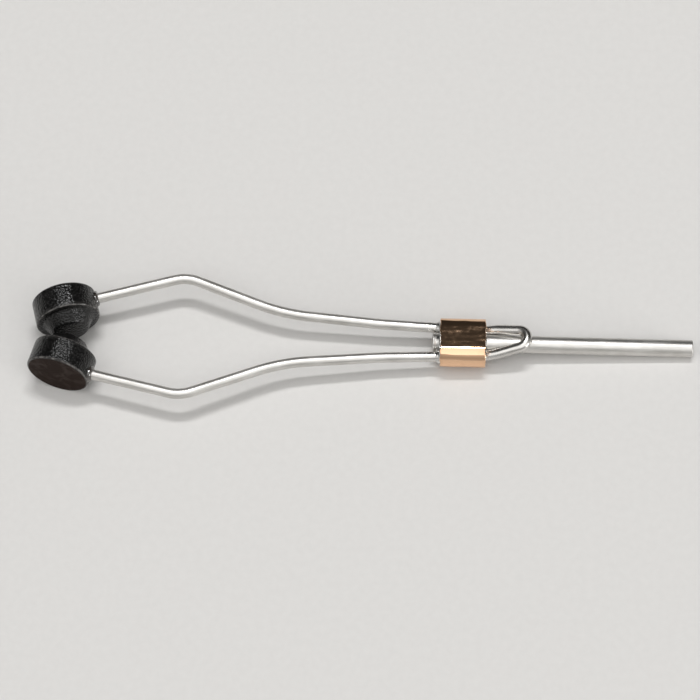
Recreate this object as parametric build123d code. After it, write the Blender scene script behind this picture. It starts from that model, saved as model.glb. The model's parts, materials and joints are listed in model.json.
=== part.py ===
from build123d import *
import os
from math import asin, atan, atan2, cos, hypot, pi, radians, sin, sqrt, tan

# Bobbin holder for fly tying. X runs along the thread tube and points out of its tip, Y points to the
# left arm and Z is up. The origin is the middle of the tip's mouth. Millimetres and degrees.

# Thread tube: straight steel tube with a polished lip and a belled rear mouth
tube_d = 2.5
tube_bore_d = 1.8
tube_length = 37.9
lip_outer_round = 0.15
lip_inner_round = 0.12
bell_radius = 3.0
bell_angle = 20.0
bell_edge_round = 0.1
widest_round_of_wall = 0.45

# Spring wire: one length, bent into a hairpin over the tube and two sprung arms
wire_d = 1.5
leg_front_gap = 0.04
leg_rear_gap = 0.17
leg_bend_r = 5.0
shoulder_climb = 22.0
shoulder_gap = 0.06
shoulder_bend_r = 4.0
nose_reach = 6.6
nose_inner_r = 0.3
nose_crest_gap = 0.45
stub_proud = 0.35

# Arms: runs along X, their angles to the tube, and how far the return dips towards the knob
neck_run = 8.7
neck_bend_r = 50.0
swell_run = 14.3
swell_angle = 5.2
swell_bend_r = 28.0
spread_angle = 21.6
elbow_bend_r = 5.5
return_run = 17.75
return_angle = 14.9
return_dip = 3.6

# Collar: flattened copper ferrule that binds the hairpin to the tube
collar_length = 6.6
collar_wall = 0.5
collar_fit = 0.12
collar_edge_round = 0.14
tube_tail = 1.14

# Solder that fills the collar
solder_seam = 0.4
solder_front_recess = 0.35
solder_rear_proud = 0.2
solder_rear_inset = 0.1

# Knobs: moulded discs, each with a cone that centres the thread spool
knob_d = 9.4
knob_thickness = 3.9
knob_face_round = 0.3
knob_back_round = 0.2
cone_base_d = 7.5
cone_end_d = 5.2
cone_length = 1.8
cone_root_round = 0.2
cone_end_round = 0.25
cone_rest_gap = 0.3
wire_hole_from_face = 1.3
wire_hole_depth = 3.2
wire_hole_gap = 0.02
wire_end_gap = 0.05

# Glue bead where each wire enters its knob
bead_d = 2.5
bead_height = 0.35
bead_lip = 0.08
bead_film = 0.01

# Radii, and where the collar sits on the tube
tube_r = tube_d / 2
bore_r = tube_bore_d / 2
wire_r = wire_d / 2
knob_r = knob_d / 2
collar_rear_x = tube_tail - tube_length
collar_front_x = collar_rear_x + collar_length

# The tube sets the legs' spacing at the collar's front, and its bell at the rear
bell_turn = radians(bell_angle)
bell_r = tube_r + bell_radius * (1 - cos(bell_turn))
leg_front_y = tube_r + wire_r + leg_front_gap
leg_rear_y = bell_r + wire_r + leg_rear_gap
leg_slope = (leg_rear_y - leg_front_y) / collar_length
collar_half_width = leg_rear_y + wire_r + collar_fit
collar_half_height = tube_r + solder_seam


def bent_route(corners, bend_radii):
    """Straight runs joined by tangent arcs, with one bend radius for each inner corner."""
    runs = []
    start = corners[0]
    for before, corner, after, bend_r in zip(corners, corners[1:], corners[2:], bend_radii):
        back = (before - corner).normalized()
        ahead = (after - corner).normalized()
        half_corner = radians(back.get_angle(ahead)) / 2
        tangent_run = bend_r / tan(half_corner)
        bend_start = corner + back * tangent_run
        bend_end = corner + ahead * tangent_run
        bend_middle = corner + (back + ahead).normalized() * (bend_r / sin(half_corner) - bend_r)
        runs.append(Edge.make_line(start, bend_start))
        runs.append(Edge.make_three_point_arc(bend_start, bend_middle, bend_end))
        start = bend_end
    runs.append(Edge.make_line(start, corners[-1]))
    return runs


def wire_along(runs):
    """The spring wire along a list of joined runs."""
    route = Wire(runs)
    section = Plane(origin=route @ 0, z_dir=route % 0) * Circle(wire_r)
    wire = sweep(section, path=route)
    plain_volume = pi * wire_r**2 * route.length
    print(f"wire {route.length:.2f} mm long, volume {wire.volume:.3f} against {plain_volume:.3f} mm3")
    return wire


def on_right(left_piece):
    """The right-hand twin of a piece on the left."""
    return mirror(left_piece, about=Plane.XZ)


def rounded(profile, x, y, round_r):
    """A flat profile with the corner nearest to a point rounded."""
    corner = profile.vertices().sort_by_distance((x, y, 0))[0]
    return fillet(corner, round_r)


def bell_end(arc_r):
    """Where a wall of the tube ends, after turning at arc_r about the bell's centre."""
    return (bell_start_x - arc_r * sin(bell_turn), tube_r + bell_radius - arc_r * cos(bell_turn))


# Thread tube
bell_inner_radius = bell_radius + tube_r - bore_r
bell_start_x = bell_inner_radius * sin(bell_turn) - tube_length
bell_inner = bell_end(bell_inner_radius)
bell_outer = bell_end(bell_radius)
outer_bell_arc = Edge.make_tangent_arc((bell_start_x, tube_r), (-1, 0), bell_outer)
tube_half = make_face([
    Edge.make_line((0, bore_r), (bell_start_x, bore_r)),
    Edge.make_tangent_arc((bell_start_x, bore_r), (-1, 0), bell_inner),
    Edge.make_line(bell_inner, bell_outer),
    outer_bell_arc,
    Edge.make_line((bell_start_x, tube_r), (0, tube_r)),
    Edge.make_line((0, tube_r), (0, bore_r)),
])
widest_round = widest_round_of_wall * (tube_r - bore_r)
tube_half = rounded(tube_half, *bell_inner, min(bell_edge_round, widest_round))
tube_half = rounded(tube_half, *bell_outer, min(bell_edge_round, widest_round))
tube_half = rounded(tube_half, 0, bore_r, min(lip_inner_round, widest_round))
tube_half = rounded(tube_half, 0, tube_r, min(lip_outer_round, widest_round))
thread_tube = revolve(tube_half, Axis.X)

# Hairpin: its legs lie beside the tube in the collar, then climb over the tube to a tight nose
nose_r = wire_r + nose_inner_r
crest_x = collar_front_x + nose_reach - wire_r
crest_z = tube_r + wire_r + nose_crest_gap
nose_pitch = atan2(crest_z, crest_x - collar_front_x)
nose_length = hypot(crest_z, crest_x - collar_front_x)


def on_nose_plane(along, y):
    """Point on the plane that climbs from the collar's front to the nose's crest."""
    return Vector(collar_front_x + along * cos(nose_pitch), y, along * sin(nose_pitch))


shoulder_from_axis = tube_r + wire_r + shoulder_gap
shoulder_y = shoulder_from_axis * cos(radians(shoulder_climb))
shoulder_along = shoulder_from_axis * sin(radians(shoulder_climb)) / sin(nose_pitch)
nose_centre = nose_length - nose_r
taper_run = nose_centre - shoulder_along
taper_angle = atan2(shoulder_y, taper_run) - asin(nose_r / hypot(taper_run, shoulder_y))
nose_start = on_nose_plane(nose_centre + nose_r * sin(taper_angle), nose_r * cos(taper_angle))
nose_crest = on_nose_plane(nose_length, 0)
stub_end = Vector(collar_rear_x - stub_proud, leg_rear_y + leg_slope * stub_proud, 0)
leg_front = Vector(collar_front_x, leg_front_y, 0)
shoulder = on_nose_plane(shoulder_along, shoulder_y)
left_leg = bent_route([stub_end, leg_front, shoulder, nose_start], [leg_bend_r, shoulder_bend_r])
right_leg = [run.mirror(Plane.XZ) for run in left_leg]
nose_end = Vector(nose_start.X, -nose_start.Y, nose_start.Z)
nose = Edge.make_three_point_arc(nose_start, nose_crest, nose_end)
hairpin_wire = wire_along([*left_leg, nose, *right_leg])

# Collar
sleeve_outline = Plane.YZ * SlotOverall(
    2 * (collar_half_width + collar_wall), 2 * (collar_half_height + collar_wall)
)
hollow_outline = Plane.YZ * SlotOverall(2 * collar_half_width, 2 * collar_half_height)
collar = Pos(collar_rear_x, 0, 0) * extrude(sleeve_outline - hollow_outline, collar_length)
collar_rims = collar.faces().filter_by(Axis.X).edges()
collar = fillet(collar_rims, collar_edge_round)

# Solder, cast round the tube and the legs, with a low pool at the rear mouth
rear_pool_outline = Plane.YZ * SlotOverall(
    2 * (collar_half_width - solder_rear_inset), 2 * (collar_half_height - solder_rear_inset)
)
solder_plug = extrude(hollow_outline, collar_length - solder_front_recess)
rear_pool = extrude(rear_pool_outline, -solder_rear_proud)
rear_pool = fillet(rear_pool.faces().sort_by(Axis.X)[0].edges(), solder_rear_inset)
tube_room = revolve(make_face([
    Edge.make_line((0, 0), (0, tube_r)),
    Edge.make_line((0, tube_r), (bell_start_x, tube_r)),
    outer_bell_arc,
    Edge.make_line(bell_outer, (bell_outer[0], 0)),
    Edge.make_line((bell_outer[0], 0), (0, 0)),
]), Axis.X)
collar_solder = Pos(collar_rear_x, 0, 0) * (solder_plug + rear_pool) - tube_room - hairpin_wire

# Knob in its own frame: X out along the wire, Z through the cone, origin where the two cross
face_z = -wire_hole_from_face
back_z = face_z + knob_thickness
cone_end_z = back_z + cone_length
cone_base_r = cone_base_d / 2
cone_end_r = cone_end_d / 2
knob_half = make_face(Polyline(
    (0, face_z),
    (knob_r, face_z),
    (knob_r, back_z),
    (cone_base_r, back_z),
    (cone_end_r, cone_end_z),
    (0, cone_end_z),
    close=True,
))
knob_half = rounded(knob_half, knob_r, face_z, knob_face_round)
knob_half = rounded(knob_half, knob_r, back_z, knob_back_round)
knob_half = rounded(knob_half, cone_base_r, back_z, cone_root_round)
knob_half = rounded(knob_half, cone_end_r, cone_end_z, cone_end_round)
knob_blank = revolve(Plane.XZ * knob_half, Axis.Z)
wire_hole_x = knob_r - wire_hole_depth
wire_hole = Plane.YZ.offset(wire_hole_x) * extrude(Circle(wire_r + wire_hole_gap), knob_r)
knob = knob_blank - wire_hole

# Glue bead in the knob's frame: round on the wire, and cut off by the knob's rim at its widest
bead_r = bead_d / 2
bead_widest_x = sqrt(knob_r**2 - bead_r**2)
bead_top_x = knob_r + bead_height
bead_sunk_x = 2 * bead_widest_x - bead_top_x
bead_bore_r = wire_r + bead_film
bead_end_r = bead_bore_r + bead_lip
bead_half = make_face([
    Edge.make_line((bead_sunk_x, bead_bore_r), (bead_sunk_x, bead_end_r)),
    Edge.make_three_point_arc((bead_sunk_x, bead_end_r), (bead_widest_x, bead_r), (bead_top_x, bead_end_r)),
    Edge.make_line((bead_top_x, bead_end_r), (bead_top_x, bead_bore_r)),
    Edge.make_line((bead_top_x, bead_bore_r), (bead_sunk_x, bead_bore_r)),
])
glue_bead = revolve(bead_half, Axis.X) - knob_blank

# Left arm: neck and swell, a spread out to the elbow, then a return that dips to the knob
return_turn = radians(return_angle)
knob_y = cone_rest_gap / 2 + cone_end_z * cos(return_turn) + cone_end_r * sin(return_turn)
elbow_y = knob_y + return_run * tan(return_turn)
knob_z = -return_run / cos(return_turn) * tan(radians(return_dip))
neck_end = Vector(collar_rear_x - neck_run, leg_rear_y + leg_slope * neck_run)
swell_end = neck_end + Vector(-swell_run, swell_run * tan(radians(swell_angle)))
elbow = Vector(swell_end.X - (elbow_y - swell_end.Y) / tan(radians(spread_angle)), elbow_y)
knob_centre = Vector(elbow.X - return_run, knob_y, knob_z)
to_elbow = (elbow - knob_centre).normalized()
wire_end = knob_centre + to_elbow * (wire_hole_x + wire_end_gap)
left_arm_wire = wire_along(bent_route(
    [stub_end, neck_end, swell_end, elbow, wire_end],
    [neck_bend_r, swell_bend_r, elbow_bend_r],
))
knob_frame = Plane(origin=knob_centre, x_dir=to_elbow, z_dir=(sin(return_turn), -cos(return_turn), 0))
left_knob = knob_frame * knob
left_glue_bead = knob_frame * glue_bead

nodes = {
    "thread_tube": thread_tube,
    "collar": collar,
    "collar_solder": collar_solder,
    "hairpin_wire": hairpin_wire,
    "left_arm_wire": left_arm_wire,
    "left_knob": left_knob,
    "left_glue_bead": left_glue_bead,
    "right_arm_wire": on_right(left_arm_wire),
    "right_knob": on_right(left_knob),
    "right_glue_bead": on_right(left_glue_bead),
}
os.makedirs("parts", exist_ok=True)
for node, piece in nodes.items():
    export_step(piece, f"parts/{node}.step")

leg_turn = atan(leg_slope)
arm_pivot = stub_end + Vector(sin(leg_turn), cos(leg_turn)) * wire_r
print("left arm bends about", arm_pivot)
print("left knob centre", knob_centre, "elbow", elbow)
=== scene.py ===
import json
from math import asin, atan2, ceil, cos, hypot, pi, radians, sin, tan

import bmesh
import bpy
from mathutils import Matrix, Vector
from mathutils.kdtree import KDTree


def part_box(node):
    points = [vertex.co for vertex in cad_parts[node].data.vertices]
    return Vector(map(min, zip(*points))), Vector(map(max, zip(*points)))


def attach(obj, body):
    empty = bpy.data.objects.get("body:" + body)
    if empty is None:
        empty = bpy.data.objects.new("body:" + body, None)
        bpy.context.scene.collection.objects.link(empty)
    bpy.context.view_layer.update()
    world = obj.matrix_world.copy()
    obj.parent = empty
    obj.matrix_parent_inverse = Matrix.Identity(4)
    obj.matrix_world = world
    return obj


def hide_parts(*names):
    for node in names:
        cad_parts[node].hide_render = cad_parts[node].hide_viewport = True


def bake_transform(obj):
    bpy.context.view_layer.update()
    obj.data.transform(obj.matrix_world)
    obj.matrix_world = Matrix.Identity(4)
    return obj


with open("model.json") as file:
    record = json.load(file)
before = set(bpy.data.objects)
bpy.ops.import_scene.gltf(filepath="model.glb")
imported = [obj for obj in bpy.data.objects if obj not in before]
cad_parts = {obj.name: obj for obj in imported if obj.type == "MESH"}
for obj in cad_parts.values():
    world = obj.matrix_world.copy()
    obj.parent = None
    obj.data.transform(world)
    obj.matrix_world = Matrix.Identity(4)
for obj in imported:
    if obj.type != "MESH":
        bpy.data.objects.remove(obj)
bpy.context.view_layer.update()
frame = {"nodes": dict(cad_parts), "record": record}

mm = 0.001
print("frame loaded:", sorted(frame["nodes"]))


# Shaping by hand: every place and size in these is in millimetres

weld = 0.0005      # points nearer than this become one
onEdge = 0.01      # how near its edge the middle of a picked part must lie
shadeAngle = 35    # edges sharper than this stay sharp, in degrees


def adopt(name):  # the primitive just added becomes a piece, in edit mode and selected all over
    piece = bpy.context.object
    piece.name = name
    piece.data.name = name
    bpy.ops.object.transform_apply(location=True, rotation=True, scale=True)
    bpy.ops.object.mode_set(mode="EDIT")
    bpy.ops.mesh.select_all(action="SELECT")
    return piece


def startRing(name, centre, facing, radius, sides):
    bpy.ops.object.select_all(action="DESELECT")
    turned = Vector(facing).to_track_quat("Z", "Y").to_euler()
    bpy.ops.mesh.primitive_circle_add(
        vertices=sides,
        radius=radius * mm,
        location=Vector(centre) * mm,
        rotation=turned,
    )
    return adopt(name)


def startPoint(name, place):
    bpy.ops.object.select_all(action="DESELECT")
    bpy.ops.mesh.primitive_plane_add(size=mm, location=Vector(place) * mm)
    piece = adopt(name)
    bpy.ops.mesh.merge(type="CENTER")
    return piece


def pull(step):
    bpy.ops.mesh.extrude_region_move(TRANSFORM_OT_translate={"value": tuple(Vector(step) * mm)})


def swing(centre, axis, angle, steps):  # spin runs clockwise, so its axis is turned round
    bpy.ops.mesh.spin(steps=steps, angle=angle, center=Vector(centre) * mm, axis=-Vector(axis))


def lathe(axis, sides):  # turns the whole profile round an axis through the origin
    bpy.ops.mesh.select_all(action="SELECT")
    swing((0, 0, 0), axis, 2 * pi, sides)


def pick(piece, kind, test):  # selects the points, edges or faces whose middle passes the test
    bpy.ops.mesh.select_mode(type=kind)
    bpy.ops.mesh.select_all(action="DESELECT")
    mesh = bmesh.from_edit_mesh(piece.data)
    found = {"VERT": mesh.verts, "EDGE": mesh.edges, "FACE": mesh.faces}[kind]
    for part in found:
        corners = [part] if kind == "VERT" else list(part.verts)
        middle = sum((corner.co for corner in corners), Vector()) / len(corners)
        if test(middle / mm):
            part.select_set(True)
    mesh.select_flush_mode()
    bmesh.update_edit_mesh(piece.data)


def bevel(width, segments):
    bpy.ops.mesh.bevel(affect="EDGES", offset=width * mm, segments=segments, profile=0.5)


def tidyMesh():
    bpy.ops.mesh.select_mode(type="VERT")
    bpy.ops.mesh.select_all(action="SELECT")
    bpy.ops.mesh.remove_doubles(threshold=weld * mm)
    bpy.ops.mesh.normals_make_consistent(inside=False)


def leaveEdit(angle=shadeAngle):
    bpy.ops.object.mode_set(mode="OBJECT")
    bpy.ops.object.shade_smooth_by_angle(angle=radians(angle))


def selectOnly(piece):
    bpy.ops.object.select_all(action="DESELECT")
    piece.select_set(True)
    bpy.context.view_layer.objects.active = piece


def modify(piece, kind, **settings):
    selectOnly(piece)
    modifier = piece.modifiers.new(kind.lower(), kind)
    for name, value in settings.items():
        setattr(modifier, name, value)
    bpy.ops.object.modifier_apply(modifier=modifier.name)


def ripple(piece, name, size, height):  # uneven by hand: a soft cloud pattern pushed along the normals
    clouds = bpy.data.textures.new(name, "CLOUDS")
    clouds.noise_scale = size * mm
    clouds.noise_depth = 1
    modify(
        piece,
        "DISPLACE",
        texture=clouds,
        texture_coords="LOCAL",
        strength=height * mm,
        mid_level=0.5,
    )


def removePiece(piece):
    bpy.data.objects.remove(piece, do_unlink=True)


# Node trees

def nodeMaker(tree):
    def make(kind, sockets=None, **settings):
        node = tree.nodes.new(kind)
        for name, value in settings.items():
            setattr(node, name, value)
        for socket, value in (sockets or {}).items():
            if isinstance(value, bpy.types.NodeSocket):
                tree.links.new(value, node.inputs[socket])
            else:
                node.inputs[socket].default_value = value
        return node
    return make


def spread(make, value, low, high, fromLow=0.0, fromHigh=1.0):
    sockets = {"Value": value, "From Min": fromLow, "From Max": fromHigh, "To Min": low, "To Max": high}
    return make("ShaderNodeMapRange", sockets).outputs["Result"]


def combine(make, operation, *values):
    return make("ShaderNodeMath", dict(enumerate(values)), operation=operation).outputs["Value"]


def shades(make, value, *stops):
    ramp = make("ShaderNodeValToRGB", {"Fac": value})
    steps = ramp.color_ramp.elements
    while len(steps) < len(stops):
        steps.new(0.5)
    for step, (place, colour) in zip(steps, stops):
        step.position = place
        step.color = (*colour, 1.0)
    return ramp.outputs["Color"]


def tint(make, amount, first, second):  # sockets 0, 6 and 7 are the colour mix's factor, A and B
    mix = make("ShaderNodeMix", {0: amount, 6: first, 7: second}, data_type="RGBA", blend_type="MIX")
    return mix.outputs[2]


def newGroup(name, inputs, outputs):
    tree = bpy.data.node_groups.new(name, "ShaderNodeTree")
    for socket, kind, value in inputs:
        made = tree.interface.new_socket(name=socket, in_out="INPUT", socket_type="NodeSocket" + kind)
        if value is not None:
            made.default_value = value
    for socket in outputs:
        tree.interface.new_socket(name=socket, in_out="OUTPUT", socket_type="NodeSocketFloat")
    make = nodeMaker(tree)
    return tree, make, make("NodeGroupInput").outputs, make("NodeGroupOutput").inputs


def newMaterial(name):
    material = bpy.data.materials.new(name)
    material.use_nodes = True
    tree = material.node_tree
    return material, nodeMaker(tree), tree.nodes["Principled BSDF"].inputs, tree.links.new


# Effects that several finishes share

def drawnLinesGroup():  # fine lines that run along X of the vector it is given
    tree, make, given, out = newGroup(
        "drawnLines",
        [("Vector", "Vector", None), ("Fineness", "Float", 9000.0), ("Patch", "Float", 300.0)],
        ["Lines", "Blotch"],
    )
    drawn = make("ShaderNodeMapping", {"Vector": given["Vector"], "Scale": (0.03, 1.0, 1.0)})
    lines = make("ShaderNodeTexNoise", {
        "Vector": drawn.outputs[0], "Scale": given["Fineness"], "Detail": 3.0,
    })
    blotch = make("ShaderNodeTexNoise", {
        "Vector": given["Vector"], "Scale": given["Patch"], "Detail": 2.0,
    })
    tree.links.new(lines.outputs["Fac"], out["Lines"])
    tree.links.new(blotch.outputs["Fac"], out["Blotch"])
    return tree


def handlingGroup():  # smudges from fingers, and a few hair scratches
    tree, make, given, out = newGroup(
        "handlingMarks",
        [
            ("Vector", "Vector", None),
            ("Smudge Size", "Float", 420.0),
            ("Scratch Size", "Float", 1400.0),
        ],
        ["Smudge", "Scratch"],
    )
    cloud = make("ShaderNodeTexNoise", {
        "Vector": given["Vector"], "Scale": given["Smudge Size"], "Detail": 4.0, "Distortion": 1.2,
    })
    hair = make("ShaderNodeTexNoise", {
        "Vector": given["Vector"], "Scale": given["Scratch Size"], "Detail": 1.0, "Distortion": 3.0,
    })
    smudge = spread(make, cloud.outputs["Fac"], low=0.0, high=1.0, fromLow=0.46, fromHigh=0.68)
    # a scratch runs where the noise crosses its middle value
    offMiddle = combine(make, "SUBTRACT", hair.outputs["Fac"], 0.5)
    offLine = combine(make, "ABSOLUTE", offMiddle)
    scratch = spread(make, offLine, low=1.0, high=0.0, fromLow=0.0, fromHigh=0.012)
    tree.links.new(smudge, out["Smudge"])
    tree.links.new(scratch, out["Scratch"])
    return tree


def edgeWearAndHighlightGroup():  # breaks a clean edge mask into uneven patches: wear, and on the knobs a painted highlight along the rounded edges
    tree, make, given, out = newGroup(
        "edgeWearAndHighlight",
        [("Vector", "Vector", None), ("Edge", "Float", 0.0), ("Patch", "Float", 1800.0)],
        ["Worn"],
    )
    patch = make("ShaderNodeTexNoise", {
        "Vector": given["Vector"], "Scale": given["Patch"], "Detail": 4.0,
    })
    uneven = spread(make, patch.outputs["Fac"], low=0.2, high=1.0, fromLow=0.38, fromHigh=0.62)
    tree.links.new(combine(make, "MULTIPLY", given["Edge"], uneven), out["Worn"])
    return tree


drawnLines = drawnLinesGroup()
handling = handlingGroup()
edgeWearAndHighlight = edgeWearAndHighlightGroup()


# Finishes: "shading" is where, on the pattern's scale, the first shade ends and the second begins

steelLook = {
    "deep": (0.55, 0.535, 0.51),
    "pale": (0.70, 0.685, 0.66),
    "shading": (0.12, 0.34),
    "roughness": (0.34, 0.46),
    "smudged": 0.07,            # how much rougher a smudge is
    "buffed": (-46.0, -38.0),   # X where the buffing of the joint fades out and where it is whole
}


def drawnSteel(name, polish, pathAttribute=None):  # polish: share of the roughness left by the buffing
    material, make, shader, link = newMaterial(name)
    place = make("ShaderNodeTexCoord").outputs["Object"]
    path = place
    if pathAttribute:
        path = make("ShaderNodeAttribute", attribute_name=pathAttribute).outputs["Vector"]
    lines = make("ShaderNodeGroup", {"Vector": path, "Fineness": 7000.0}, node_tree=drawnLines).outputs
    marks = make("ShaderNodeGroup", {"Vector": path}, node_tree=handling).outputs
    shade = combine(make, "MULTIPLY", lines["Lines"], lines["Blotch"])
    stops = zip(steelLook["shading"], (steelLook["deep"], steelLook["pale"]))
    link(shades(make, shade, *stops), shader["Base Color"])
    x = make("ShaderNodeSeparateXYZ", {0: place}).outputs["X"]
    fade, whole = (edge * mm for edge in steelLook["buffed"])
    buffing = spread(make, x, 1.0, polish, fade, whole)
    satin = spread(make, lines["Lines"], *steelLook["roughness"], fromLow=0.3, fromHigh=0.7)
    smeared = combine(make, "MULTIPLY_ADD", marks["Smudge"], steelLook["smudged"], satin)
    link(combine(make, "MULTIPLY", smeared, buffing), shader["Roughness"])
    bump = make("ShaderNodeBump", {"Height": lines["Lines"], "Strength": 0.25, "Distance": 0.006 * mm})
    link(bump.outputs["Normal"], shader["Normal"])
    shader["Metallic"].default_value = 1.0
    return material


copperLook = {
    "bright": (0.86, 0.56, 0.36),
    "tarnish": (0.50, 0.29, 0.17),
    "roughness": (0.08, 0.12),
    "rim": 0.45,                # width of the darker band at each end
    "rimFilm": 0.35,            # how much tarnish lies on that band
    "blotchFilm": 0.22,         # and on a blotch
    "scratchDepth": 0.4,        # against the drawn lines
}


def polishedCopper(rear, front):
    material, make, shader, link = newMaterial("polishedCopper")
    place = make("ShaderNodeTexCoord").outputs["Object"]
    lines = make("ShaderNodeGroup", {
        "Vector": place, "Fineness": 5200.0, "Patch": 520.0,
    }, node_tree=drawnLines).outputs
    marks = make("ShaderNodeGroup", {"Vector": place, "Smudge Size": 700.0}, node_tree=handling).outputs
    x = make("ShaderNodeSeparateXYZ", {0: place}).outputs["X"]
    fromRear = spread(make, x, 1.0, 0.0, rear * mm, (rear + copperLook["rim"]) * mm)
    fromFront = spread(make, x, 0.0, 1.0, (front - copperLook["rim"]) * mm, front * mm)
    ends = combine(make, "MAXIMUM", fromRear, fromFront)
    wornAndHighlight = make("ShaderNodeGroup", {
        "Vector": place, "Edge": ends, "Patch": 1500.0,
    }, node_tree=edgeWearAndHighlight).outputs
    blotched = spread(make, lines["Blotch"], 0.0, copperLook["blotchFilm"], fromLow=0.5, fromHigh=0.75)
    film = combine(make, "MULTIPLY_ADD", wornAndHighlight["Worn"], copperLook["rimFilm"], blotched)
    bright, tarnish = ((*copperLook[name], 1.0) for name in ("bright", "tarnish"))
    link(tint(make, film, bright, tarnish), shader["Base Color"])
    link(spread(make, marks["Smudge"], *copperLook["roughness"]), shader["Roughness"])
    fine = combine(make, "MULTIPLY_ADD", marks["Scratch"], -copperLook["scratchDepth"], lines["Lines"])
    bump = make("ShaderNodeBump", {"Height": fine, "Strength": 0.12, "Distance": 0.006 * mm})
    link(bump.outputs["Normal"], shader["Normal"])
    shader["Metallic"].default_value = 1.0
    return material


solderLook = {
    "dull": (0.52, 0.51, 0.49),
    "bright": (0.80, 0.79, 0.77),
    "shading": (0.38, 0.6),
    "roughness": (0.14, 0.38),
}


def flowedSolder():
    material, make, shader, link = newMaterial("flowedSolder")
    place = make("ShaderNodeTexCoord").outputs["Object"]
    skin = make("ShaderNodeTexNoise", {"Vector": place, "Scale": 2600.0, "Detail": 4.0}).outputs["Fac"]
    stops = zip(solderLook["shading"], (solderLook["dull"], solderLook["bright"]))
    link(shades(make, skin, *stops), shader["Base Color"])
    rough = spread(make, skin, *reversed(solderLook["roughness"]), fromLow=0.35, fromHigh=0.65)
    link(rough, shader["Roughness"])
    bump = make("ShaderNodeBump", {"Height": skin, "Strength": 0.3, "Distance": 0.02 * mm})
    link(bump.outputs["Normal"], shader["Normal"])
    shader["Metallic"].default_value = 1.0
    return material


mouldingLook = {
    "black": (0.004, 0.0039, 0.0038),
    "speck": (0.010, 0.0097, 0.0094),
    "shading": (0.35, 0.65),
    # pale edge colour: partly wear, partly a painted highlight where the rounds catch the light
    "wornAndHighlight": (0.21, 0.2, 0.19),
    "wearAndHighlight": 0.7,                # how much of the pale edge colour, wear and painted highlight alike, shows at most
    "grain": 3300.0,
    "relief": 0.07,
    "edgeRelief": 0.3,          # share of the relief that is left on the edges
    "roughness": (0.13, 0.19),
    "rubbed": 0.1,              # how much smoother the edges are
    "specular": 0.33,
}


def blackMoulding():
    material, make, shader, link = newMaterial("blackMoulding")
    place = make("ShaderNodeTexCoord").outputs["Object"]
    edge = make("ShaderNodeAttribute", attribute_name="edge").outputs["Fac"]
    cells = make("ShaderNodeTexVoronoi", {"Vector": place, "Scale": mouldingLook["grain"]})
    grain = spread(make, cells.outputs["Distance"], 1.0, 0.0)   # a small dome in each cell
    wornAndHighlight = make("ShaderNodeGroup", {"Vector": place, "Edge": edge}, node_tree=edgeWearAndHighlight).outputs["Worn"]
    stops = zip(mouldingLook["shading"], (mouldingLook["black"], mouldingLook["speck"]))
    speckled = shades(make, grain, *stops)
    # the edges are painted paler: wear, and a painted highlight along the rounds
    wearAndHighlightAmount = combine(make, "MULTIPLY", wornAndHighlight, mouldingLook["wearAndHighlight"])
    link(tint(make, wearAndHighlightAmount, speckled, (*mouldingLook["wornAndHighlight"], 1.0)), shader["Base Color"])
    rough = spread(make, grain, *mouldingLook["roughness"], *mouldingLook["shading"])
    smoother = combine(make, "MULTIPLY", edge, mouldingLook["rubbed"])
    link(combine(make, "SUBTRACT", rough, smoother), shader["Roughness"])
    relief = combine(make, "MULTIPLY", grain, spread(make, edge, 1.0, mouldingLook["edgeRelief"]))
    bump = make("ShaderNodeBump", {
        "Height": relief, "Strength": 1.0, "Distance": mouldingLook["relief"] * mm,
    })
    link(bump.outputs["Normal"], shader["Normal"])
    shader["Specular IOR Level"].default_value = mouldingLook["specular"]
    return material


faceLook = {
    # dark plastic with a brown tint that is a painted reflection of warm wood
    "reflectedBrown": (0.02, 0.012, 0.0092),
    "scuff": (0.06, 0.045, 0.038),
    "scratched": 0.5,           # how much of the scuff's colour a scratch has
    "smudged": 0.35,            # and a smudge
    "roughness": (0.36, 0.5),
    "specular": 0.03,
}


def mouldedFace():  # the flat outer face is smoother, and a shade browner: the brown is a painted reflection of warm wood
    material, make, shader, link = newMaterial("mouldedFace")
    place = make("ShaderNodeTexCoord").outputs["Object"]
    marks = make("ShaderNodeGroup", {"Vector": place, "Smudge Size": 500.0}, node_tree=handling).outputs
    smudged = combine(make, "MULTIPLY", marks["Smudge"], faceLook["smudged"])
    rubbed = combine(make, "MULTIPLY_ADD", marks["Scratch"], faceLook["scratched"], smudged)
    reflectedBrown, scuff = ((*faceLook[name], 1.0) for name in ("reflectedBrown", "scuff"))
    link(tint(make, rubbed, reflectedBrown, scuff), shader["Base Color"])
    link(spread(make, marks["Smudge"], *reversed(faceLook["roughness"])), shader["Roughness"])
    skin = make("ShaderNodeTexNoise", {"Vector": place, "Scale": 5200.0, "Detail": 2.0}).outputs["Fac"]
    bump = make("ShaderNodeBump", {"Height": skin, "Strength": 0.3, "Distance": 0.02 * mm})
    link(bump.outputs["Normal"], shader["Normal"])
    shader["Specular IOR Level"].default_value = faceLook["specular"]
    return material


glueLook = {
    "dark": (0.012, 0.010, 0.009),
    "pale": (0.07, 0.062, 0.055),
    "shading": (0.4, 0.68),
    "roughness": (0.03, 0.1),
    "specular": 1.0,
    "coat": 1.0,
}


def setGlue():
    material, make, shader, link = newMaterial("setGlue")
    place = make("ShaderNodeTexCoord").outputs["Object"]
    haze = make("ShaderNodeTexNoise", {"Vector": place, "Scale": 1500.0, "Detail": 3.0}).outputs["Fac"]
    stops = zip(glueLook["shading"], (glueLook["dark"], glueLook["pale"]))
    link(shades(make, haze, *stops), shader["Base Color"])
    rough = spread(make, haze, *glueLook["roughness"], fromLow=0.35, fromHigh=0.65)
    link(rough, shader["Roughness"])
    bump = make("ShaderNodeBump", {"Height": haze, "Strength": 0.2, "Distance": 0.05 * mm})
    link(bump.outputs["Normal"], shader["Normal"])
    shader["Specular IOR Level"].default_value = glueLook["specular"]
    shader["Coat Weight"].default_value = glueLook["coat"]
    return material


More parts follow.
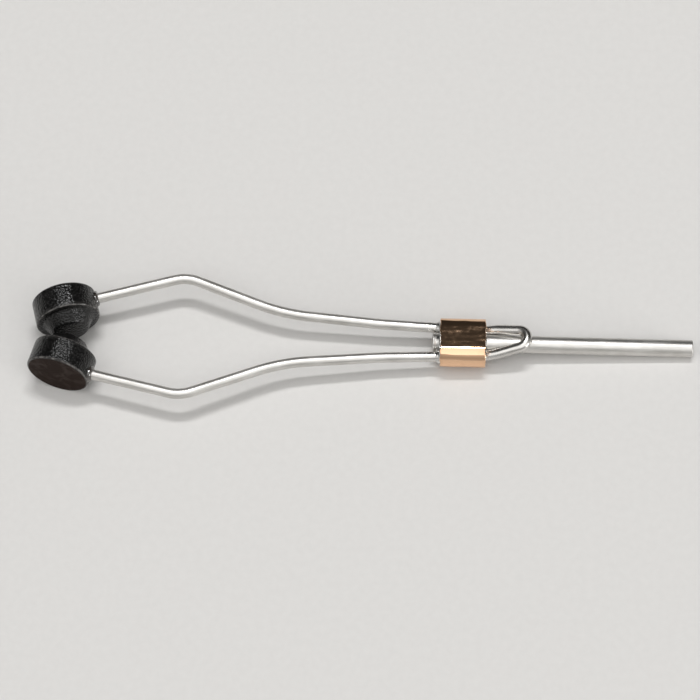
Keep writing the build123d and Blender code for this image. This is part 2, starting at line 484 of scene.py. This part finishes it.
floorLook = {
    "deep": (0.665, 0.655, 0.64),
    "pale": (0.685, 0.675, 0.66),
    "shading": (0.3, 0.7),
    "roughness": (0.55, 0.7),
    "specular": 0.2,
}


def paleFloor():
    material, make, shader, link = newMaterial("paleFloor")
    place = make("ShaderNodeTexCoord").outputs["Object"]
    tooth = make("ShaderNodeTexNoise", {"Vector": place, "Scale": 900.0, "Detail": 3.0}).outputs["Fac"]
    stops = zip(floorLook["shading"], (floorLook["deep"], floorLook["pale"]))
    link(shades(make, tooth, *stops), shader["Base Color"])
    link(spread(make, tooth, *floorLook["roughness"]), shader["Roughness"])
    shader["Specular IOR Level"].default_value = floorLook["specular"]
    return material


# Thread tube: a profile drawn in XY, turned round X

tube = {
    "diameter": 2.5,
    "bore": 1.8,
    "length": 37.9,
    "bellRadius": 3.0,
    "bellAngle": 20.0,
    "bellSteps": 8,
    "sides": 80,
    "lip": [(0.15, 5), (0.12, 4)],   # outer and inner round of the tip: width, segments
    "bellLip": (0.1, 3),
    "polish": 0.95,
}
tubeR = tube["diameter"] / 2
boreR = tube["bore"] / 2
bellTurn = radians(tube["bellAngle"])
innerBell = tube["bellRadius"] + tubeR - boreR
bellStart = innerBell * sin(bellTurn) - tube["length"]
bellCentre = Vector((bellStart, tubeR + tube["bellRadius"], 0))
bellIn, bellOut = (
    bellCentre + Vector((-radius * sin(bellTurn), -radius * cos(bellTurn), 0))
    for radius in (innerBell, tube["bellRadius"])
)


def onRing(x, radius):
    return lambda p: abs(p.x - x) < 2 * onEdge and abs(hypot(p.y, p.z) - radius) < onEdge


def makeTube():
    piece = startPoint("threadTube", (0, boreR, 0))
    pull((0, tubeR - boreR, 0))
    pull((bellStart, 0, 0))
    swing(bellCentre, (0, 0, -1), bellTurn, tube["bellSteps"])
    pull(bellIn - bellOut)
    swing(bellCentre, (0, 0, 1), bellTurn, tube["bellSteps"])
    pull((-bellStart, 0, 0))
    lathe((1, 0, 0), tube["sides"])
    tidyMesh()
    for radius, (width, segments) in zip((tubeR, boreR), tube["lip"]):
        pick(piece, "EDGE", onRing(0, radius))
        bevel(width, segments)
    for corner in (bellIn, bellOut):
        pick(piece, "EDGE", onRing(corner.x, corner.y))
        bevel(*tube["bellLip"])
    leaveEdit()
    piece.data.materials.append(drawnSteel("tubeSteel", tube["polish"]))
    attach(piece, "frame")
    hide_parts("thread_tube")
    print("thread tube:", len(piece.data.polygons), "faces")


# Spring wire: a ring pulled along each straight run and swung round each bend

wire = {
    "diameter": 1.5,
    "sides": 40,
    "ringStep": 0.6,     # between rings on a straight run
    "bendStep": 4.0,     # degrees between rings in a bend
    "legFrontY": 2.04,
    "legRearY": 2.351,
    "hiddenJoin": 1.2,   # the three lengths meet this far inside the collar
    "polish": 0.6,
}
wireR = wire["diameter"] / 2
collarLow, collarHigh = (Vector(corner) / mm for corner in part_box("collar"))
collarRear, collarFront = collarLow.x, collarHigh.x
legSlope = (wire["legRearY"] - wire["legFrontY"]) / (collarFront - collarRear)


def onLeg(x):
    return Vector((x, wire["legRearY"] + legSlope * (collarRear - x), 0))


def bendWire(name, corners, bendRadii, material):
    heading = (corners[1] - corners[0]).normalized()
    piece = startRing(name, corners[0], heading, wireR, wire["sides"])
    rings = [(corners[0], 0.0, heading)]

    def goStraight(end):
        start, along, _ = rings[-1]
        run = end - start
        count = ceil(run.length / wire["ringStep"])
        for ring in range(1, count + 1):
            pull(run / count)
            rings.append((start + run * ring / count, along + run.length * ring / count, heading))

    for corner, after, bendR in zip(corners[1:], corners[2:], bendRadii):
        ahead = (after - corner).normalized()
        turn = heading.angle(ahead)
        bendStart = corner - heading * bendR * tan(turn / 2)
        goStraight(bendStart)
        axis = heading.cross(ahead).normalized()
        centre = bendStart + axis.cross(heading) * bendR
        along = rings[-1][1]
        count = max(ceil(turn / radians(wire["bendStep"])), ceil(turn * bendR / wire["ringStep"]))
        swing(centre, axis, turn, count)
        for ring in range(1, count + 1):
            part = Matrix.Rotation(turn * ring / count, 3, axis)
            middle = centre + part @ (bendStart - centre)
            rings.append((middle, along + bendR * turn * ring / count, part @ heading))
        heading = ahead
    goStraight(corners[-1])
    tidyMesh()
    bpy.ops.mesh.fill_holes(sides=0)
    tidyMesh()
    leaveEdit()
    straighten(piece, rings)
    piece.data.materials.append(material)
    print(name, round(rings[-1][1], 2), "mm of wire,", len(rings), "rings")
    return piece


def straighten(piece, rings):  # each point's place if the wire were pulled straight along X
    finder = KDTree(len(rings))
    for index, (centre, _, _) in enumerate(rings):
        finder.insert(centre * mm, index)
    finder.balance()
    layer = piece.data.attributes.new("straightened", "FLOAT_VECTOR", "POINT")
    for point in piece.data.vertices:
        centre, index, _ = finder.find(point.co)
        _, along, heading = rings[index]
        side = heading.cross(Vector((0, 0, 1))).normalized()
        across = point.co - centre
        layer.data[point.index].vector = (along * mm, across.dot(side), across.dot(side.cross(heading)))


hairpin = {
    "crest": (-24.17, 2.095),    # X and Z of the wire's middle at the nose
    "noseRadius": 1.44,
    "shoulderAlong": 1.74,       # from the collar's front, up the slope
    "shoulderY": 1.981,
    "bends": (5.0, 4.0),         # at the collar's front and at the shoulder
}


def makeHairpin(material):
    crestX, crestZ = hairpin["crest"]
    slope = Vector((crestX - collarFront, 0, crestZ))
    upSlope = slope.normalized()
    noseMiddle = slope.length - hairpin["noseRadius"]
    run = noseMiddle - hairpin["shoulderAlong"]
    shoulderY = hairpin["shoulderY"]
    taper = atan2(shoulderY, run) - asin(hairpin["noseRadius"] / hypot(run, shoulderY))
    tip = hairpin["shoulderAlong"] + shoulderY / tan(taper)   # where the two tapering legs would cross

    def onSlope(along, y):
        return Vector((collarFront, y, 0)) + upSlope * along

    leg = [
        onLeg(collarRear + wire["hiddenJoin"]),
        onLeg(collarFront),
        onSlope(hairpin["shoulderAlong"], shoulderY),
    ]
    otherLeg = [Vector((p.x, -p.y, p.z)) for p in reversed(leg)]
    bends = [*hairpin["bends"], hairpin["noseRadius"], *reversed(hairpin["bends"])]
    piece = bendWire("hairpinWire", [*leg, onSlope(tip, 0), *otherLeg], bends, material)
    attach(piece, "frame")
    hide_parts("hairpin_wire")


arm = {
    "neckRun": 8.7,
    "swellRun": 14.3,
    "swellAngle": 5.2,
    "spreadAngle": 21.6,
    "returnRun": 17.75,
    "bends": (50.0, 28.0, 5.5),
    "wireInKnob": 1.55,          # from the knob's middle to the wire's end
    "flexRun": 20.0,             # the wire bends over this length behind the collar
}
knob = {
    "diameter": 9.4,
    "faceZ": -1.3,               # flat outer face, from the wire's line
    "backZ": 2.6,
    "coneBase": 7.5,
    "coneEnd": 5.2,
    "coneLength": 1.8,
    "faceLoops": (0.5, 0.35, 0.15),   # shares of the radius
    "rimLoops": 6,
    "endLoops": (0.3, 0.7),
    "sides": 144,
    "rounds": [(0.3, 6), (0.2, 5), (0.2, 4), (0.25, 5)],
    "roundMiddle": 0.414,        # a round's middle lies this share of its width inside the sharp corner
    "holeRadius": 0.77,
    "holePast": 0.05,            # how much deeper than the wire
    "holeSides": 48,
    # how far the edge mask reaches past a round's middle; the mask carries wear and a painted highlight
    "wearAndHighlightReach": 0.07,
}


def knobPlace(side):  # the knob's own X runs up the wire, its Z through the cone
    seat = next(m for m in frame["record"]["mounts"] if m["name"] == side + "_spool_seat")
    inward = Vector(seat["axis"]).normalized()
    middle = Vector(seat["pos_m"]) / mm - inward * knob["backZ"]
    level = Vector((0, 0, 1)).cross(inward)
    toElbow = level * (arm["returnRun"] / level.x) - Vector((0, 0, middle.z))   # up to the arms' plane
    return middle, toElbow.normalized(), inward


def makeArm(side, sign, material):
    middle, upWire, _ = knobPlace(side)

    def mirrored(x, y):
        return Vector((x, sign * y, 0))

    neckEnd = onLeg(collarRear - arm["neckRun"])
    swellY = neckEnd.y + arm["swellRun"] * tan(radians(arm["swellAngle"]))
    elbow = middle + upWire * (arm["returnRun"] / upWire.x)
    swellX = neckEnd.x - arm["swellRun"]
    start = onLeg(collarRear + wire["hiddenJoin"])
    corners = [
        mirrored(start.x, start.y),
        mirrored(neckEnd.x, neckEnd.y),
        mirrored(swellX, swellY),
        elbow,
        middle + upWire * arm["wireInKnob"],
    ]
    piece = bendWire(side + "ArmWire", corners, arm["bends"], material)
    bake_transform(piece)
    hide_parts(side + "_arm_wire")


# Collar and the solder that fills it

collar = {
    "wall": 0.5,
    "sides": 96,
    "flatCuts": 23,
    "rings": 30,
    "rim": (0.14, 4),
    "rimAngle": 60,
    "rippleSize": 0.9,
    "rippleHeight": 0.06,
    "rippleStretch": 4.0,    # the ripples run along the collar, as it was rolled
}


def startSlot(name, x, halfWidth, halfHeight):  # a flattened ring across X
    piece = startRing(name, (x, 0, 0), (1, 0, 0), halfHeight, collar["sides"])
    middle = (x * mm, 0, 0)
    bpy.ops.transform.rotate(value=pi / collar["sides"], orient_axis="X", center_override=middle)
    for sign in (1, -1):
        pick(piece, "VERT", lambda p: sign * p.y > 0)
        bpy.ops.transform.translate(value=(0, sign * (halfWidth - halfHeight) * mm, 0))
    pick(piece, "EDGE", lambda p: abs(p.y) < onEdge)
    bpy.ops.mesh.subdivide(number_cuts=collar["flatCuts"])
    bpy.ops.mesh.select_all(action="SELECT")
    return piece


def stretchAlong(piece, factor):
    bpy.ops.object.mode_set(mode="EDIT")
    bpy.ops.mesh.select_all(action="SELECT")
    bpy.ops.transform.resize(value=(factor, 1, 1), center_override=(collarRear * mm, 0, 0))
    bpy.ops.object.mode_set(mode="OBJECT")


def makeCollar():
    piece = startSlot("bindingCollar", collarRear, collarHigh.y, collarHigh.z)
    for ring in range(collar["rings"]):
        pull(((collarFront - collarRear) / collar["rings"], 0, 0))
    tidyMesh()
    leaveEdit()
    modify(piece, "SOLIDIFY", thickness=collar["wall"] * mm, offset=-1.0, use_even_offset=True)
    width, segments = collar["rim"]
    modify(
        piece,
        "BEVEL",
        width=width * mm,
        segments=segments,
        limit_method="ANGLE",
        angle_limit=radians(collar["rimAngle"]),
    )
    stretchAlong(piece, 1 / collar["rippleStretch"])
    ripple(piece, "rolledRipple", collar["rippleSize"], collar["rippleHeight"])
    stretchAlong(piece, collar["rippleStretch"])
    bpy.ops.object.shade_smooth_by_angle(angle=radians(shadeAngle))
    piece.data.materials.append(polishedCopper(collarRear, collarFront))
    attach(piece, "frame")
    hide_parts("collar")
    print("collar:", len(piece.data.polygons), "faces")


solder = {
    "frontRecess": 0.35,
    "rearProud": 0.1,
    "sink": 0.06,            # into the collar's wall, so no gap shows
    "fillet": [(0.5, 0.04), (0.42, 0.03)],   # base and top, beyond the wire and beyond the tube
    "filletHeight": 0.55,
    "filletSunk": 0.6,
    "filletSides": 48,
    "grain": 0.055,
    "softness": 10,
    "coreAhead": 3.0,        # the core that keeps the tube's own space open, past the collar's front
    "coreBell": (2.2, 0.25),   # length and widening of its rear end
    "coreSides": 64,
    "shadeAngle": 50,
}


def addFillet(x, direction, y, z, radius, spreadBy):
    base, top = spreadBy
    depth = solder["filletHeight"] + solder["filletSunk"]
    middle = x + direction * (solder["filletHeight"] - depth / 2)
    facing = Vector((direction, 0, 0)).to_track_quat("Z", "Y").to_euler()
    bpy.ops.mesh.primitive_cone_add(
        vertices=solder["filletSides"],
        radius1=(radius + base) * mm,
        radius2=(radius + top) * mm,
        depth=depth * mm,
        location=Vector((middle, y, z)) * mm,
        rotation=facing,
    )
    return bpy.context.object


def makeSolder():
    rear = collarRear - solder["rearProud"]
    front = collarFront - solder["frontRecess"]
    halfWidth = collarHigh.y - collar["wall"] + solder["sink"]
    halfHeight = collarHigh.z - collar["wall"] + solder["sink"]
    piece = startSlot("collarSolder", rear, halfWidth, halfHeight)
    bpy.ops.mesh.edge_face_add()
    pull((front - rear, 0, 0))
    tidyMesh()
    bpy.ops.object.mode_set(mode="OBJECT")
    wireSpread, bellSpread = solder["fillet"]
    lumps = [piece]
    bpy.ops.object.select_all(action="DESELECT")
    for sign in (1, -1):
        lumps.append(addFillet(rear, -1, sign * onLeg(rear).y, 0, wireR, wireSpread))
        lumps.append(addFillet(front, 1, sign * onLeg(front).y, 0, wireR, wireSpread))
    lumps.append(addFillet(rear, -1, 0, 0, tubeR, bellSpread))
    lumps.append(addFillet(front, 1, 0, 0, tubeR, bellSpread))
    for lump in lumps:
        lump.select_set(True)
    bpy.context.view_layer.objects.active = piece
    bpy.ops.object.join()
    modify(piece, "REMESH", mode="VOXEL", voxel_size=solder["grain"] * mm)
    modify(piece, "SMOOTH", factor=0.5, iterations=solder["softness"])

    coreR = (tubeR + boreR) / 2
    bellLength, widening = solder["coreBell"]
    core = startPoint("tubeCore", (collarFront + solder["coreAhead"], 0, 0))
    pull((0, coreR, 0))
    pull((bellStart - collarFront - solder["coreAhead"], 0, 0))
    pull((-bellLength, widening, 0))
    pull((0, -coreR - widening, 0))
    lathe((1, 0, 0), solder["coreSides"])
    tidyMesh()
    bpy.ops.object.mode_set(mode="OBJECT")
    modify(piece, "BOOLEAN", operation="DIFFERENCE", solver="EXACT", object=core)
    removePiece(core)
    bpy.ops.object.mode_set(mode="EDIT")
    tidyMesh()
    leaveEdit(solder["shadeAngle"])
    piece.data.materials.append(flowedSolder())
    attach(piece, "frame")
    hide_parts("collar_solder")
    print("solder:", len(piece.data.polygons), "faces")


# Knobs: a profile drawn in XZ, turned round Z, with a hole for the wire

def makeKnobBlank():
    radius, baseR, endR = (knob[name] / 2 for name in ("diameter", "coneBase", "coneEnd"))
    faceZ, backZ = knob["faceZ"], knob["backZ"]
    coneZ = backZ + knob["coneLength"]
    piece = startPoint("knobBlank", (0, 0, faceZ))
    for part in knob["faceLoops"]:
        pull((radius * part, 0, 0))
    for loop in range(knob["rimLoops"]):
        pull((0, 0, (backZ - faceZ) / knob["rimLoops"]))
    pull((baseR - radius, 0, 0))
    pull((endR - baseR, 0, coneZ - backZ))
    for part in knob["endLoops"]:
        pull((-endR * part, 0, 0))
    lathe((0, 0, 1), knob["sides"])
    tidyMesh()
    edges = [(radius, faceZ), (radius, backZ), (baseR, backZ), (endR, coneZ)]
    for (edgeR, edgeZ), (width, segments) in zip(edges, knob["rounds"]):
        pick(
            piece,
            "EDGE",
            lambda p: abs(p.z - edgeZ) < onEdge and abs(hypot(p.x, p.y) - edgeR) < onEdge,
        )
        bevel(width, segments)
    bpy.ops.object.mode_set(mode="OBJECT")

    holeEnd = (arm["wireInKnob"] - knob["holePast"], 0, 0)
    drill = startRing("wireDrill", holeEnd, (1, 0, 0), knob["holeRadius"], knob["holeSides"])
    bpy.ops.mesh.edge_face_add()
    pull((radius, 0, 0))
    tidyMesh()
    bpy.ops.object.mode_set(mode="OBJECT")
    modify(piece, "BOOLEAN", operation="DIFFERENCE", solver="EXACT", object=drill)
    removePiece(drill)
    bpy.ops.object.mode_set(mode="EDIT")
    tidyMesh()
    leaveEdit()

    for material in (blackMoulding(), mouldedFace()):
        piece.data.materials.append(material)
    for part in piece.data.polygons:
        part.material_index = 1 if part.center.z < (faceZ + onEdge / 2) * mm else 0
    # edge mask near the two disc rounds: the knob's finish paints it paler, as wear and as a painted
    # highlight, and makes it smoother
    edgeLayer = piece.data.attributes.new("edge", "FLOAT", "POINT")
    discEdges = [(edge, width) for edge, (width, _) in zip(edges[:2], knob["rounds"])]
    for point in piece.data.vertices:
        fromAxis, height = hypot(point.co.x, point.co.y) / mm, point.co.z / mm
        nearest = min(
            hypot(fromAxis - r, height - z) - knob["roundMiddle"] * width
            for (r, z), width in discEdges
        )
        wearAndHighlight = 1.0 - nearest / (2 * knob["wearAndHighlightReach"])
        edgeLayer.data[point.index].value = min(1.0, max(0.0, wearAndHighlight))
    print("knob:", len(piece.data.polygons), "faces")
    return piece


def copyOf(piece, name):
    twin = piece.copy()
    twin.data = piece.data.copy()
    twin.name = name
    twin.data.name = name
    bpy.context.collection.objects.link(twin)
    return twin


def settle(piece, side):  # from the knob's own frame to its place on the arm
    middle, upWire, inward = knobPlace(side)
    turned = Matrix((upWire, inward.cross(upWire), inward)).transposed().to_4x4()
    piece.matrix_world = Matrix.Translation(middle * mm) @ turned
    selectOnly(piece)
    bpy.ops.object.transform_apply(location=True, rotation=True, scale=True)


bead = {
    # along the wire from the knob's rim, and radius
    "profile": [(-0.5, 1.25), (-0.15, 1.25), (0.1575, 1.16), (0.2975, 1.0), (0.35, 0.82)],
    "intoWire": 0.05,
    "sides": 48,
    "shadeAngle": 70,
    "lumpSize": 0.9,
    "lumpHeight": 0.12,
}


def makeBeadBlank():
    rimX = knob["diameter"] / 2
    inside = wireR - bead["intoWire"]
    (footX, _), *_, (topX, _) = bead["profile"]
    corners = [(footX, inside), *bead["profile"], (topX, inside)]
    piece = startPoint("beadBlank", (rimX + footX, inside, 0))
    for (x, radius), (nextX, nextRadius) in zip(corners, [*corners[1:], corners[0]]):
        pull((nextX - x, nextRadius - radius, 0))
    lathe((1, 0, 0), bead["sides"])
    tidyMesh()
    leaveEdit(bead["shadeAngle"])
    modify(piece, "SUBSURF", levels=1, render_levels=1)
    ripple(piece, "beadLumps", bead["lumpSize"], bead["lumpHeight"])
    piece.data.materials.append(setGlue())
    return piece


def makeKnobs():
    knobBlank, beadBlank = makeKnobBlank(), makeBeadBlank()
    for side in ("left", "right"):
        for blank, name, node, slot in (
            (knobBlank, side + "Knob", side + "_knob", "black_plastic"),
            (beadBlank, side + "GlueBead", side + "_glue_bead", "glue"),
        ):
            piece = copyOf(blank, name)
            settle(piece, side)
            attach(piece, side + "_arm")
            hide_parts(node)
    removePiece(knobBlank)
    removePiece(beadBlank)
    print("knobs and glue beads placed")


# Floor, light and camera

floor = {"size": 8000.0}
lamps = {
    "overheadSoftbox": {
        "azimuth": 0.0,
        "elevation": 72.0,
        "distance": 2100.0,
        "across": -250.0,
        "size": (3400.0, 2140.0),
        "power": 23.9,
    },
    "backKey": {
        "azimuth": 0.0,
        "elevation": 105.0,
        "distance": 1950.0,
        "across": 0.0,
        "size": (840.0, 180.0),
        "power": 16.2,
    },
    "sideWindow": {
        "azimuth": 59.0,
        "elevation": 12.0,
        "distance": 2000.0,
        "across": 0.0,
        "size": (720.0, 420.0),
        "power": 9.0,
    },
}
room = [   # angle from the front over the top to the back, and brightness
    (0, 0.5), (22, 0.38), (44, 0.62), (98, 0.3), (107, 0.04), (168, 0.03), (177, 0.14), (180, 0.3),
]
roomTint = (1.0, 0.985, 0.96)
shot = {
    "centre": (-49.85, -1.65, 0.0),
    "azimuth": 1.693,
    "elevation": 62.0,
    "distance": 450.0,
    "lens": 158.9,
    "sensor": 36.0,
    "clipStart": 10.0,
}


def makeFloor():  # it touches both knobs' rims and the underside of the tube's tip
    knobMiddle = knobPlace("left")[0]
    rise = knobMiddle.z + tubeR
    tilt = asin(knob["diameter"] / 2 / hypot(knobMiddle.x, rise)) - atan2(rise, -knobMiddle.x)
    bpy.ops.object.select_all(action="DESELECT")
    bpy.ops.mesh.primitive_plane_add(
        size=floor["size"] * mm,
        location=Vector((0, 0, -tubeR)) * mm,
        rotation=(0, -tilt, 0),
    )
    piece = bpy.context.object
    piece.name = "paleFloor"
    piece.data.materials.append(paleFloor())
    print("floor tilt", round(tilt * 180 / pi, 2), "degrees under the tool")


def lookFrom(azimuth, elevation, distance, centre):
    a, e = radians(azimuth), radians(elevation)
    back = Vector((sin(a) * cos(e), -cos(a) * cos(e), sin(e)))
    place = (Vector(centre) + back * distance) * mm
    return place, (-back).to_track_quat("-Z", "Y").to_euler()


def makeLight():
    for name, lamp in lamps.items():
        place, turned = lookFrom(lamp["azimuth"], lamp["elevation"], lamp["distance"], shot["centre"])
        place.x += lamp["across"] * mm
        bpy.ops.object.light_add(type="AREA", location=place, rotation=turned)
        light = bpy.context.object
        light.name = name
        light.data.shape = "RECTANGLE"
        light.data.size, light.data.size_y = (side * mm for side in lamp["size"])
        light.data.energy = lamp["power"]
        light.visible_camera = False
    world = bpy.data.worlds.new("studio")
    bpy.context.scene.world = world
    world.use_nodes = True
    make = nodeMaker(world.node_tree)
    direction = make("ShaderNodeTexCoord").outputs["Generated"]
    towards = make("ShaderNodeSeparateXYZ", {0: direction}).outputs
    angle = combine(make, "ARCTAN2", towards["Z"], combine(make, "MULTIPLY", towards["Y"], -1.0))
    overhead = spread(make, angle, 0.0, 1.0, 0.0, pi)
    stops = ((turn / 180, [level * share for share in roomTint]) for turn, level in room)
    glow = shades(make, overhead, *stops)
    world.node_tree.links.new(glow, world.node_tree.nodes["Background"].inputs["Color"])


def makeCamera():
    place, turned = lookFrom(shot["azimuth"], shot["elevation"], shot["distance"], shot["centre"])
    bpy.ops.object.camera_add(location=place, rotation=turned)
    camera = bpy.context.object
    camera.data.sensor_width = shot["sensor"]
    camera.data.lens = shot["lens"]
    camera.data.clip_start = shot["clipStart"] * mm
    bpy.context.scene.camera = camera


makeTube()
wireSteel = drawnSteel("wireSteel", wire["polish"], "straightened")
makeHairpin(wireSteel)
makeArm("left", 1, wireSteel)
makeArm("right", -1, wireSteel)
makeCollar()
makeSolder()
makeKnobs()
makeFloor()
makeLight()
makeCamera()
bpy.context.scene.view_settings.view_transform = "Standard"
